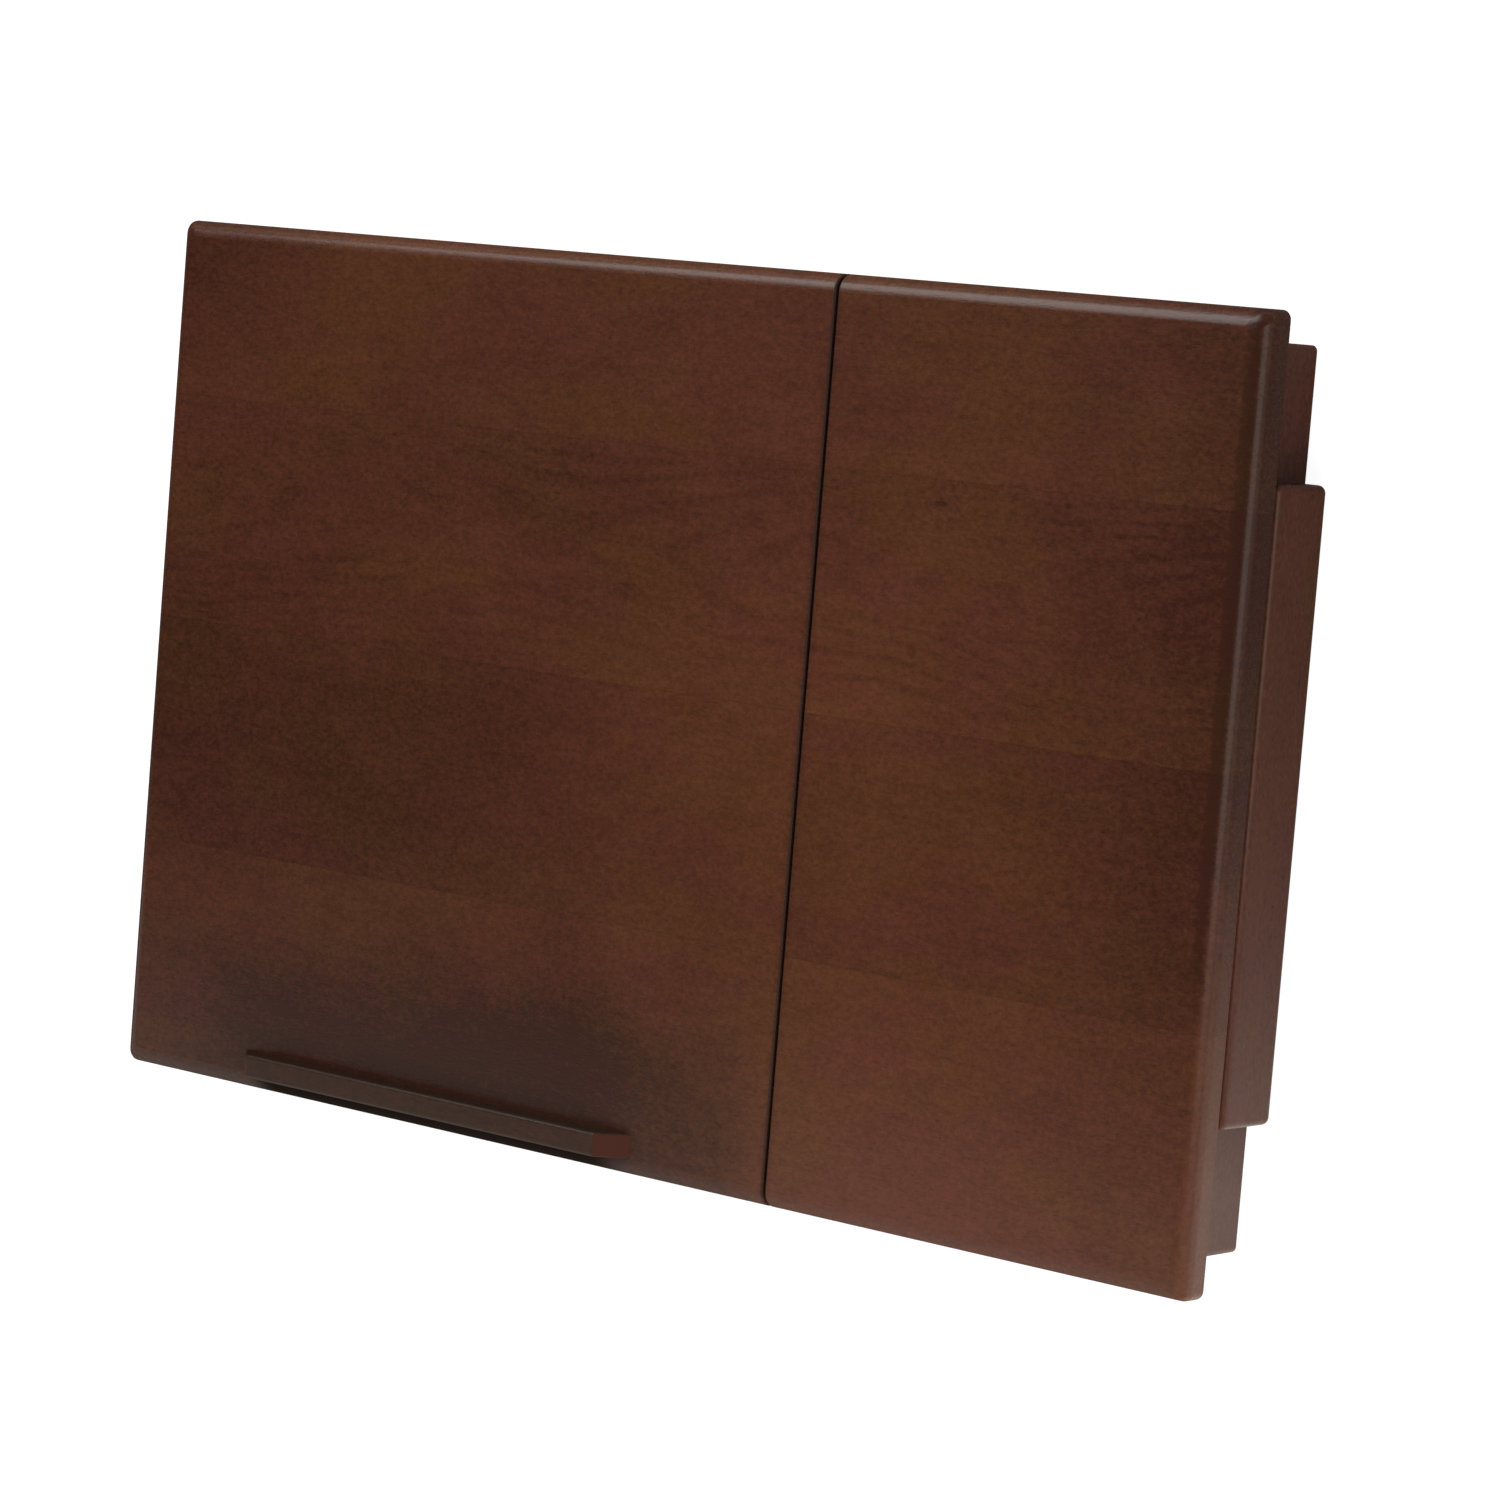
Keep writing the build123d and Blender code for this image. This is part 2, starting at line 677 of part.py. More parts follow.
# ---------------------------------------------------------------------------
# All pieces by name
# ---------------------------------------------------------------------------

aprons = apron_ring()
pieces = {
    "lid_panel": lid_panel(),
    "fixed_top": fixed_top(),
    "book_ledge": book_ledge(),
    "front_apron": front_apron(aprons),
    "back_apron": long_apron(aprons, 1),
    "left_apron": left_apron(aprons),
    "centre_divider": centre_divider(),
    "base_board": base_board(),
    "top_cleats": top_cleats(),
    "drawer_front": drawer_front(),
    "drawer_side_front": drawer_side(-1),
    "drawer_side_back": drawer_side(1),
    "drawer_back": drawer_back(),
    "drawer_inner_front": drawer_inner_front(),
    "drawer_bottom": drawer_bottom(),
    "drawer_guide_front": drawer_guide(-1),
    "drawer_guide_back": drawer_guide(1),
    "drawer_kickers": group([drawer_kicker(-1), drawer_kicker(1)]),
    "drawer_stop": drawer_stop(),
    "hinge_pins": hinge_pins(),
    "prop_arm_left": prop_arm(-1),
    "prop_arm_right": prop_arm(1),
    "prop_rail": prop_rail(),
    "prop_foot_bar": prop_foot_bar(),
    "prop_block_left": prop_block(-1),
    "prop_block_right": prop_block(1),
    "prop_pins": prop_pins(),
    "rack_left": rack(-1),
    "rack_right": rack(1),
}
pieces.update(drawer_end(aprons))
for place_name, x in zip(("left", "right"), hinge_middles):
    pieces[f"hinge_frame_leaf_{place_name}"] = hinge_leaf(x, False)
    pieces[f"hinge_lid_leaf_{place_name}"] = hinge_leaf(x, True)
for name, piece in leg_set().items():
    pieces[f"right_{name}"] = piece
    pieces[f"left_{name}"] = group([mirror(piece, Plane.YZ)])

os.makedirs("parts", exist_ok=True)
for name, piece in pieces.items():
    export_step(piece, f"parts/{name}.step")

print("lid hinge axis: y", round(hinge_y, 3), "z", hinge_z)
print("prop pin: y", round(prop_pin_y, 3), "z", prop_pin_z, "length", round(prop_length, 3))
print("leg pivots: x", pivot_x, "z", pivot_z, "leg length", leg_length)
print("drawer travel:", round(drawer_travel, 3))
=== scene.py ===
import math

import bmesh
import bpy
from mathutils import Matrix, Vector


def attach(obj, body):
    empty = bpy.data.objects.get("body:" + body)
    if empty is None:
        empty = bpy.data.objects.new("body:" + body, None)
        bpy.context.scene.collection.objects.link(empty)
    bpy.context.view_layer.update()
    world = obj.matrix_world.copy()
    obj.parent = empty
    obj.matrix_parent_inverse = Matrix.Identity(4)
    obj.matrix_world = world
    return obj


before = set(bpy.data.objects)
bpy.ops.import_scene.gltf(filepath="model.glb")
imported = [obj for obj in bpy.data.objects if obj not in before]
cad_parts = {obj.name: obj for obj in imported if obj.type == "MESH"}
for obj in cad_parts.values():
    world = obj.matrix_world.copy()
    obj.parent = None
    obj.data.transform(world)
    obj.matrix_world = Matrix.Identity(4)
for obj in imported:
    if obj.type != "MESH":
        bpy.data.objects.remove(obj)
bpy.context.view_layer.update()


# ---------------------------------------------------------------- node trees

# The specular level of an ordinary lacquered, painted or metal surface.
PLAIN_SHINE = 0.5


class Shader:
    """One material or world, with short calls that add nodes and join them."""

    def __init__(self, block):
        block.use_nodes = True
        self.block = block
        self.nodes = block.node_tree.nodes
        self.links = block.node_tree.links
        self.nodes.clear()

    def add(self, kind, inputs=None, **settings):
        node = self.nodes.new("ShaderNode" + kind)
        for key, value in settings.items():
            setattr(node, key, value)
        for key, value in (inputs or {}).items():
            if isinstance(value, bpy.types.NodeSocket):
                self.links.new(value, node.inputs[key])
            else:
                node.inputs[key].default_value = value
        return node

    def math(self, operation, *values):
        numbers = {i: v for i, v in enumerate(values)}
        return self.add("Math", numbers, operation=operation).outputs[0]

    def vector(self, operation, *values):
        numbers = {i: v for i, v in enumerate(values)}
        return self.add("VectorMath", numbers, operation=operation).outputs[0]

    def scaled(self, vector, factors):
        return self.vector("MULTIPLY", vector, factors)

    def noise(self, vector, scale=1.0, detail=2.0, roughness=0.5, distortion=0.0):
        inputs = {"Vector": vector, "Scale": scale, "Detail": detail}
        inputs["Roughness"] = roughness
        inputs["Distortion"] = distortion
        return self.add("TexNoise", inputs).outputs[0]

    def span(self, value, low, high, to_low=0.0, to_high=1.0, smooth=True):
        """Value from low..high to to_low..to_high, held at the ends."""
        inputs = {0: value, 1: low, 2: high, 3: to_low, 4: to_high}
        kind = "SMOOTHSTEP" if smooth else "LINEAR"
        return self.add("MapRange", inputs, interpolation_type=kind).outputs[0]

    def ramp(self, value, stops):
        node = self.add("ValToRGB", {0: value})
        band = node.color_ramp
        band.interpolation = "LINEAR"
        for place, colour in stops[2:]:
            band.elements.new(place)
        for element, (place, colour) in zip(band.elements, stops):
            element.position = place
            element.color = (*colour, 1.0)
        return node.outputs[0]

    def blend(self, factor, a, b, kind="MIX"):
        node = self.add("Mix", data_type="RGBA", blend_type=kind)
        sockets = (node.inputs[0], node.inputs[6], node.inputs[7])
        for socket, value in zip(sockets, (factor, a, b)):
            if isinstance(value, bpy.types.NodeSocket):
                self.links.new(value, socket)
            elif isinstance(value, tuple):
                socket.default_value = (*value, 1.0)
            else:
                socket.default_value = value
        return node.outputs[2]

    def sum(self, *values):
        total = values[0]
        for value in values[1:]:
            total = self.math("ADD", total, value)
        return total

    def minus(self, value, other):
        return self.math("SUBTRACT", value, other)

    def times(self, *values):
        total = values[0]
        for value in values[1:]:
            total = self.math("MULTIPLY", total, value)
        return total

    def swing(self, noise, size):
        """Noise taken about its middle, as a change of up to half of size either way."""
        return self.times(self.minus(noise, 0.5), size)

    def parts(self, vector):
        """The x, y and z of a vector."""
        return self.add("SeparateXYZ", {0: vector}).outputs

    def finish_surface(self, colour, roughness, bump, depth, shine=PLAIN_SHINE, **constants):
        """Ends a material: a Principled shader with a bump of that depth in metres."""
        inputs = {"Base Color": colour, "Roughness": roughness, "Specular IOR Level": shine}
        raised = self.add("Bump", {"Height": bump, "Distance": depth, "Strength": 1.0})
        inputs["Normal"] = raised.outputs[0]
        surface = self.add("BsdfPrincipled", inputs)
        for key, value in constants.items():
            surface.inputs[key.replace("_", " ")].default_value = value
        self.add("OutputMaterial", {"Surface": surface.outputs[0]})
        return self.block


def shader(name):
    return Shader(bpy.data.materials.new(name))


# --------------------------------------------------------------------- woods

AXES = {"X": 0, "Y": 1, "Z": 2}


def along_and_across(axis, along, across):
    scale = [across, across, across]
    scale[AXES[axis]] = along
    return tuple(scale)


# Stains, dark to light, and the two hues that clouds of stain lean to.
OUTER_STAIN = ((0.034, 0.0106, 0.0052), (0.072, 0.0222, 0.0098), (0.112, 0.0350, 0.0154))
LEDGE_STAIN = ((0.016, 0.0064, 0.0030), (0.032, 0.0130, 0.0058), (0.056, 0.0220, 0.0095))
INNER_STAIN = ((0.050, 0.0200, 0.0105), (0.105, 0.0390, 0.0200), (0.160, 0.0680, 0.0370))
PLY_STAIN = ((0.075, 0.0320, 0.0160), (0.140, 0.0600, 0.0310), (0.200, 0.0950, 0.0530))
RED_HUE = (1.00, 0.93, 1.06)
BROWN_HUE = (1.00, 1.06, 0.94)

# The top is glued up from boards; the joints run along X at these Y. Each board has its own
# tone and its own piece of the grain, for which the pattern is shifted along X.
TOP_JOINTS = (-0.0885, 0.0135, 0.1155)
TOP_TONES = (0.42, 0.34, 0.41, 0.48)
GRAIN_SHIFTS = (0.0, 3.1, 7.7, 12.9)

# Small knots: middle, half sizes.
TOP_KNOTS = (((0.1500, 0.1055), (0.0050, 0.0018)), ((0.1405, 0.0440), (0.0040, 0.0030)))

# Growth rings of the flat-sawn boards: the X and Y of their crown, how they round it, how they
# slope away, how deep they start, their spacing in radians per metre, and where the band that
# shows them fades in and out in Y.
CROWN = (-0.06, 0.074)
CROWN_ROUNDING = 0.0036
CROWN_SLOPE = 0.13
CROWN_DEPTH = 0.058
RING_PITCH = 1130.0
RING_BAND = ((0.006, 0.024), (0.124, 0.104))

# Broad lighter and darker fields on the top, partly stain tone and partly painted light: a broad
# painted highlight over the middle and front right that fades towards the left and right ends, and
# a painted shadow behind the ledge. Each has middle, half sizes, strength.
TOP_STAIN_AND_LIGHT_FIELDS = (
    ((0.10, -0.02), (0.24, 0.19), 0.30),
    ((0.16, -0.17), (0.20, 0.10), 0.22),
    ((-0.25, -0.03), (0.22, 0.10), -0.12),
    ((-0.12, 0.045), (0.12, 0.06), 0.10),
    ((-0.28, 0.19), (0.11, 0.07), -0.22),
    ((0.30, 0.09), (0.11, 0.24), -0.24),
    ((-0.08, -0.155), (0.17, 0.075), -0.14),
    ((0.20, -0.190), (0.15, 0.055), 0.12),
    ((0.07, -0.060), (0.08, 0.095), -0.13),
    ((0.25, 0.175), (0.09, 0.060), -0.10),
    ((0.04, 0.140), (0.10, 0.075), 0.09),
)

# Painted shadow of the ledge: the front of the lid is darker all along, from near its left edge to
# the split.
FRONT_SHADE = 0.34
FRONT_SHADE_Y = (-0.100, -0.165)
SPLIT_X = 0.08625

# Painted shadow of the ledge: under it the lid's front rounding is nearly black and dull. Each pair
# is where a fade starts and where it is full.
LEDGE_SHADOW_X = ((-0.2215, -0.2000), (0.0130, -0.0150))
LEDGE_SHADOW_Y = (-0.1862, -0.1880)
LEDGE_SHADOW_COLOUR = (0.010, 0.0045, 0.0025)
LEDGE_SHADOW_SHINE = 0.1

# The right rim: painted shade in a band just inside it, and a rounding with a painted highlight in
# front and painted shade behind.
INNER_SHADE_BAND_X = ((0.2890, 0.2925), (0.2975, 0.2945))
INNER_SHADE_BAND_Y = (-0.085, -0.045)
RIM_HIGHLIGHT_AND_SHADE_X = (0.2935, 0.2970)
RIM_HIGHLIGHT_AND_SHADE_Y = (-0.080, 0.070)

# Painted shade: the ledge's back is darker than its front. Its right end is redder and duller.
LEDGE_BACK_SHADE = 0.55
LEDGE_END_COLOUR = (0.058, 0.0175, 0.0100)
LEDGE_END_FACING = (0.30, 0.65)
LEDGE_END_SHINE = 0.16

PLY_THICKNESS = 0.001
ARRIS_RADIUS = 0.0012


def board_steps(s, y, values):
    """A number for each glued-up board of the top, from front to back."""
    total = values[0]
    for joint, before, after in zip(TOP_JOINTS, values, values[1:]):
        past = s.math("GREATER_THAN", y, joint)
        total = s.sum(s.times(past, after - before), total)
    return total


def growth_lines(s, place, warp):
    """Dark lines where the growth rings of the flat-sawn board reach the surface."""
    x, y, _ = s.parts(place)
    aside = s.sum(y, -CROWN[1], s.swing(warp, 0.022))
    off_crown = s.minus(x, CROWN[0])
    bow = s.math("SQRT", s.sum(s.times(off_crown, off_crown), CROWN_ROUNDING))
    depth = s.math("MAXIMUM", s.minus(CROWN_DEPTH, s.times(bow, CROWN_SLOPE)), 0.0)
    ring = s.math("SQRT", s.sum(s.times(aside, aside), s.times(depth, depth)))
    uneven = s.noise(s.scaled(place, (5.0, 26.0, 26.0)), 1.0, 2.0)
    wave = s.math("SINE", s.times(s.sum(ring, s.times(uneven, 0.010)), RING_PITCH))
    line = s.span(wave, 0.0, 1.0)
    clouds = s.noise(s.scaled(place, (6.0, 30.0, 30.0)), 1.0, 2.0)
    strength = s.span(clouds, 0.36, 0.60, 0.10, 1.0)
    return s.times(line, strength, s.span(y, *RING_BAND[0]), s.span(y, *RING_BAND[1]))


def spot(s, x, y, centre, half_sizes, core=0.0):
    """1 in the middle of an oval spot of the top, fading to 0 at its rim."""
    across = s.times(s.minus(x, centre[0]), 1.0 / half_sizes[0])
    along = s.times(s.minus(y, centre[1]), 1.0 / half_sizes[1])
    far = s.math("SQRT", s.sum(s.times(across, across), s.times(along, along)))
    return s.span(far, 1.0, core)


def shade_top(s, whole, total):
    """Adds to a tone what belongs to a place on the desk's top.

    Gives the tone, with painted light and shade in it, the mask of the painted shadow under the
    ledge and the distance from the split.
    """
    x, y, _ = s.parts(whole)
    # The second board from the front is darker at its left and on the fixed top, and lighter
    # towards the split.
    past_first = s.math("GREATER_THAN", y, TOP_JOINTS[0])
    second = s.times(past_first, s.math("LESS_THAN", y, TOP_JOINTS[1]))
    on_fixed = s.math("GREATER_THAN", x, SPLIT_X)
    change = s.sum(s.span(x, -0.09, 0.03, -0.03, 0.05), s.times(on_fixed, -0.09))
    total = s.sum(total, s.times(second, change))
    warp = s.noise(s.scaled(whole, (9.0, 14.0, 14.0)), 1.0, 2.0)
    total = s.minus(total, s.times(growth_lines(s, whole, warp), 0.11))
    for joint in TOP_JOINTS:
        off = s.math("ABSOLUTE", s.minus(y, joint))
        total = s.minus(total, s.span(off, 0.0007, 0.0, 0.0, 0.10))
    for centre, half_sizes in TOP_KNOTS:
        total = s.minus(total, s.times(spot(s, x, y, centre, half_sizes, 0.3), 0.30))
    wander = s.swing(s.noise(s.scaled(whole, (11.0, 11.0, 11.0)), 1.0, 2.0), 0.11)
    bent_x, bent_y = s.sum(x, wander), s.sum(y, wander)
    # Broad fields of stain tone and of painted highlight and shadow.
    for centre, half_sizes, strength in TOP_STAIN_AND_LIGHT_FIELDS:
        field = spot(s, bent_x, bent_y, centre, half_sizes)
        total = s.sum(total, s.times(field, strength))
    # Painted shadow of the ledge along the lid's front.
    near_front = s.span(s.sum(y, s.times(wander, 0.4)), *FRONT_SHADE_Y)
    on_lid = s.times(s.span(x, 0.090, 0.055), s.span(x, -0.290, -0.215, 0.25, 1.0))
    total = s.minus(total, s.times(near_front, on_lid, FRONT_SHADE))
    # Painted shade at the split: its lips are dark, over a wide faint band and a narrow strong one.
    off_split = s.math("ABSOLUTE", s.minus(x, SPLIT_X))
    total = s.minus(total, s.span(off_split, 0.0050, 0.0008, 0.0, 0.16))
    total = s.minus(total, s.span(off_split, 0.0019, 0.0012, 0.0, 0.50))
    # Painted shadow of the ledge on the lid's front rounding.
    under = s.times(*(s.span(x, *fade) for fade in LEDGE_SHADOW_X), s.span(y, *LEDGE_SHADOW_Y))
    total = s.minus(total, s.times(under, 0.55))
    # Painted shade in a band inside the right rim, and a painted highlight on the rim's front with
    # painted shade behind it.
    inner_shade = s.times(*(s.span(x, *fade) for fade in INNER_SHADE_BAND_X), s.span(y, *INNER_SHADE_BAND_Y))
    rim = s.times(s.span(x, *RIM_HIGHLIGHT_AND_SHADE_X), s.span(y, *RIM_HIGHLIGHT_AND_SHADE_Y, 0.20, -0.14))
    return s.sum(s.minus(total, s.times(inner_shade, 0.26)), rim), under, off_split


def wood(name, stain, axis="X", tone=0.5, gloss=0.26, boards=False, plies=False, ledge=False):
    """Stained, lacquered wood with its grain along one axis of the desk.

    tone places it between the stain's dark and light. boards makes it the glued-up top, with its
    painted light and shade, plies shows layers on the edges, and ledge gives it the look of the
    book ledge, with painted shade on its back.
    """
    s = shader(name)
    coordinates = s.add("TexCoord")
    whole = place = coordinates.outputs["Object"]
    facing = s.parts(coordinates.outputs["Normal"])
    _, y, z = s.parts(whole)

    def grain(vector, along, across, *settings):
        """Noise that is drawn out along the grain; along and across are in cells per metre."""
        return s.noise(s.scaled(vector, along_and_across(axis, along, across)), 1.0, *settings)

    level = tone
    if boards:
        level = board_steps(s, y, TOP_TONES)
        shift = s.add("CombineXYZ", {0: board_steps(s, y, GRAIN_SHIFTS)})
        place = s.vector("ADD", place, shift.outputs[0])
    cloud = grain(place, 7.0, 14.0, 2.0)
    drift = s.swing(grain(place, 5.0, 9.0, 1.0), 0.02)
    drift = s.add("CombineXYZ", {0: drift, 1: drift, 2: drift}).outputs[0]
    drifted = s.vector("ADD", place, drift)
    fibre = grain(drifted, 22.0, 240.0, 4.0, 0.62)
    pores = s.span(grain(drifted, 190.0, 950.0, 2.0), 0.50, 0.72)
    speck = grain(place, 380.0, 520.0, 3.0, 0.75)
    mottle = grain(place, 90.0, 150.0, 3.0, 0.6)
    patch = grain(place, 22.0, 38.0, 3.0, 0.55)
    total = s.sum(
        level,
        s.swing(cloud, 0.22),
        s.swing(patch, 0.22),
        s.swing(fibre, 0.28),
        s.times(pores, -0.14),
        s.swing(speck, 1.15),
        s.swing(mottle, 0.20),
    )
    if boards:
        total, under, off_split = shade_top(s, whole, total)
    if plies:
        layer = s.math("SINE", s.times(z, 2.0 * math.pi / PLY_THICKNESS))
        edge = s.span(s.math("ABSOLUTE", facing[2]), 0.6, 0.3)
        total = s.sum(total, s.times(layer, edge, 0.22))
    else:
        end = s.span(s.math("ABSOLUTE", facing[AXES[axis]]), 0.80, 0.98)
        total = s.minus(total, s.times(end, 0.02 if boards else 0.10))
    if ledge:
        # Painted shade on the faces that look to the desk's back.
        total = s.minus(total, s.times(s.span(facing[1], 0.15, 0.75), LEDGE_BACK_SHADE))
    # Worn arrises are a little lighter.
    rounded = s.add("Bevel", {"Radius": ARRIS_RADIUS}, samples=4).outputs[0]
    straight = s.add("NewGeometry").outputs["Normal"]
    lean = s.add("VectorMath", {0: rounded, 1: straight}, operation="DOT_PRODUCT")
    arris = s.span(lean.outputs["Value"], 0.98, 0.80)
    total = s.sum(total, s.times(arris, 0.05))
    colour = s.ramp(total, ((0.0, stain[0]), (0.5, stain[1]), (1.0, stain[2])))
    hue = s.span(grain(place, 9.0, 17.0, 2.0, 0.6), 0.38, 0.62)
    colour = s.blend(1.0, colour, s.blend(hue, RED_HUE, BROWN_HUE), "MULTIPLY")
    rough = s.sum(gloss, s.swing(patch, 0.06), s.times(pores, 0.05), s.swing(speck, 0.06))
    shine = PLAIN_SHINE
    if ledge:
        right_end = s.span(facing[0], *LEDGE_END_FACING)
        colour = s.blend(right_end, colour, LEDGE_END_COLOUR)
        shine = s.span(right_end, 0.0, 1.0, PLAIN_SHINE, LEDGE_END_SHINE)
    if boards:
        # Painted shadow under the ledge: nearly black and dull.
        colour = s.blend(under, colour, LEDGE_SHADOW_COLOUR)
        shine = s.span(under, 0.0, 1.0, PLAIN_SHINE, LEDGE_SHADOW_SHINE)
        rough = s.sum(rough, s.span(off_split, 0.0022, 0.0008, 0.0, 0.35), s.times(under, 0.45))
    height = s.sum(s.times(fibre, 0.5), s.times(pores, -0.5), s.times(speck, 0.12))
    return s.finish_surface(colour, rough, height, 0.00004, shine, IOR=1.47)


# ------------------------------------------------------- metal, nylon, rubber


def metal(name, dark, light, axis, gloss):
    """Plated or drawn metal with fine marks along one axis and dull clouds."""
    s = shader(name)
    place = s.add("TexCoord").outputs["Object"]
    marks = s.noise(s.scaled(place, along_and_across(axis, 90.0, 3200.0)), 1.0, 3.0, 0.6)
    cloud = s.noise(place, 160.0, 3.0, 0.6)
    tarnish = s.span(s.sum(s.times(cloud, 0.7), s.times(marks, 0.3)), 0.35, 0.65)
    colour = s.ramp(tarnish, ((0.0, dark), (1.0, light)))
    rough = s.sum(gloss, s.swing(cloud, 0.16), s.swing(marks, 0.14))
    height = s.sum(marks, s.times(cloud, 0.3))
    return s.finish_surface(colour, rough, height, 0.00002, Metallic=1.0)


def moulded(name, dark, light, gloss, grain, depth):
    """Moulded nylon or rubber, with a fine mould texture and a little soiling."""
    s = shader(name)
    place = s.add("TexCoord").outputs["Object"]
    texture = s.noise(place, grain, 3.0, 0.6)
    cloud = s.noise(place, 120.0, 2.0)
    soiling = s.sum(s.times(cloud, 0.7), s.times(texture, 0.3))
    colour = s.ramp(soiling, ((0.3, dark), (0.7, light)))
    rough = s.sum(gloss, s.swing(texture, 0.12))
    return s.finish_surface(colour, rough, texture, depth, IOR=1.5)


top_boards = wood("top_boards", OUTER_STAIN, "X", boards=True)
stained_x = wood("stained_x", OUTER_STAIN, "X", tone=0.47)
stained_y = wood("stained_y", OUTER_STAIN, "Y", tone=0.47)
ledge_wood = wood("ledge_wood", LEDGE_STAIN, "X", tone=0.52, gloss=0.34, ledge=True)
inner_x = wood("inner_x", INNER_STAIN, "X", gloss=0.46)
inner_y = wood("inner_y", INNER_STAIN, "Y", gloss=0.46)
plywood = wood("plywood", PLY_STAIN, "X", gloss=0.50, plies=True)
brass = metal("brass", (0.42, 0.27, 0.085), (0.66, 0.47, 0.19), "X", 0.30)
zinc = metal("zinc", (0.40, 0.41, 0.42), (0.60, 0.61, 0.62), "X", 0.34)
nylon = moulded("nylon", (0.62, 0.60, 0.53), (0.74, 0.72, 0.66), 0.42, 1500.0, 0.00002)
rubber = moulded("rubber", (0.014, 0.014, 0.014), (0.026, 0.026, 0.026), 0.72, 2200.0, 0.00004)

MATERIAL_OF = {
    "lid_panel": top_boards,
    "fixed_top": top_boards,
    "book_ledge": ledge_wood,
    "front_apron": stained_x,
    "back_apron": stained_x,
    "left_apron": stained_y,
    "end_stile_front": stained_y,
    "end_stile_back": stained_y,
    "drawer_lower_rail": stained_y,
    "drawer_upper_rail": stained_y,
    "drawer_front": stained_y,
    "left_leg_rail": stained_y,
    "right_leg_rail": stained_y,
    "left_leg_post_front": stained_x,
    "left_leg_post_back": stained_x,
    "right_leg_post_front": stained_x,
    "right_leg_post_back": stained_x,
    "base_board": plywood,
    "drawer_bottom": plywood,
    "centre_divider": inner_y,
    "top_cleats": inner_x,
    "drawer_guide_front": inner_x,
    "drawer_guide_back": inner_x,
    "drawer_kickers": inner_x,
    "drawer_stop": inner_y,
    "drawer_side_front": inner_x,
    "drawer_side_back": inner_x,
    "drawer_back": inner_y,
    "drawer_inner_front": inner_y,
    "prop_arm_left": inner_y,
    "prop_arm_right": inner_y,
    "prop_rail": inner_x,
    "prop_foot_bar": inner_x,
    "prop_block_left": inner_y,
    "prop_block_right": inner_y,
    "rack_left": inner_y,
    "rack_right": inner_y,
    "hinge_frame_leaf_left": brass,
    "hinge_frame_leaf_right": brass,
    "hinge_lid_leaf_left": brass,
    "hinge_lid_leaf_right": brass,
    "hinge_pins": brass,
    "prop_pins": zinc,
    "left_leg_pivot_bolts": zinc,
    "right_leg_pivot_bolts": zinc,
    "left_leg_washers": nylon,
    "right_leg_washers": nylon,
    "left_leg_pads": rubber,
    "right_leg_pads": rubber,
}

for name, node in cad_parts.items():
    node.data.materials.clear()
    node.data.materials.append(MATERIAL_OF[name])


# -------------------------------------------------------------- small screws


SCREW_SIDES = 32


def screw_head(name, centre, facing, radius, material, body, turn):
    """A countersunk screw head with a cross recess, its face at centre, looking along facing."""
    arm, half_width, depth = radius * 0.62, radius * 0.15, radius * 0.45
    dome = radius * 0.06
    mesh = bmesh.new()
    corners = []
    for quarter in range(4):
        cos, sin = (1, 0, -1, 0)[quarter], (0, 1, 0, -1)[quarter]
        for u, v in ((half_width, -half_width), (arm, -half_width), (arm, half_width)):
            corners.append((u * cos - v * sin, u * sin + v * cos))
    cross = [mesh.verts.new((u, v, dome)) for u, v in corners]
    floor = [mesh.verts.new((u * 0.55, v * 0.55, dome - depth)) for u, v in corners]
    angles = [2 * math.pi * i / SCREW_SIDES for i in range(SCREW_SIDES)]
    rings = []
    for size, level in ((1.0, 0.0), (0.97, -radius * 0.08), (0.55, -radius * 0.5)):
        ring = [(radius * size * math.cos(a), radius * size * math.sin(a), level) for a in angles]
        rings.append([mesh.verts.new(point) for point in ring])
    edges = []
    for loop in (cross, rings[0]):
        edges += [mesh.edges.new((a, b)) for a, b in zip(loop, loop[1:] + loop[:1])]
    bmesh.ops.triangle_fill(mesh, use_beauty=True, edges=edges, normal=(0, 0, 1))
    for low, high in ((floor, cross), (rings[1], rings[0]), (rings[2], rings[1])):
        for i in range(len(low)):
            j = (i + 1) % len(low)
            mesh.faces.new((low[i], low[j], high[j], high[i]))
    mesh.faces.new(floor)
    mesh.faces.new(rings[2])
    bmesh.ops.recalc_face_normals(mesh, faces=mesh.faces)
    looking = Vector(facing).to_track_quat("Z", "Y").to_matrix().to_4x4()
    mesh.transform(Matrix.Translation(centre) @ looking @ Matrix.Rotation(turn, 4, "Z"))
    data = bpy.data.meshes.new(name)
    mesh.to_mesh(data)
    mesh.free()
    piece = bpy.data.objects.new(name, data)
    bpy.context.scene.collection.objects.link(piece)
    data.materials.append(material)
    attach(piece, body)


# The screws' places, in millimetres. Each face stands PROUD of what it holds.
MM = 0.001
PROUD = 0.12
LEAF_SCREW_RADIUS = 2.2
BLOCK_SCREW_RADIUS = 2.4
WOOD_SCREW_RADIUS = 3.0
HINGE_MIDDLES = (("left", -237.25), ("right", 22.75))
HINGE_SCREW_SPREAD = 16.0
HINGE_SCREW_Y = -176.5
FRAME_LEAF_TOP = 38.6
LID_LEAF_UNDERSIDE = 39.4
CLEAT_UNDERSIDE = 27.0
CLEAT_SCREW_Y = 163.5
INNER_FRONT_X = 279.0
BLOCK_UNDERSIDE = 29.5
LID_MIDDLE_X = -107.25
BLOCK_OFFSET = 72.5
UP, DOWN, INWARD = (0, 0, 1), (0, 0, -1), (-1, 0, 0)

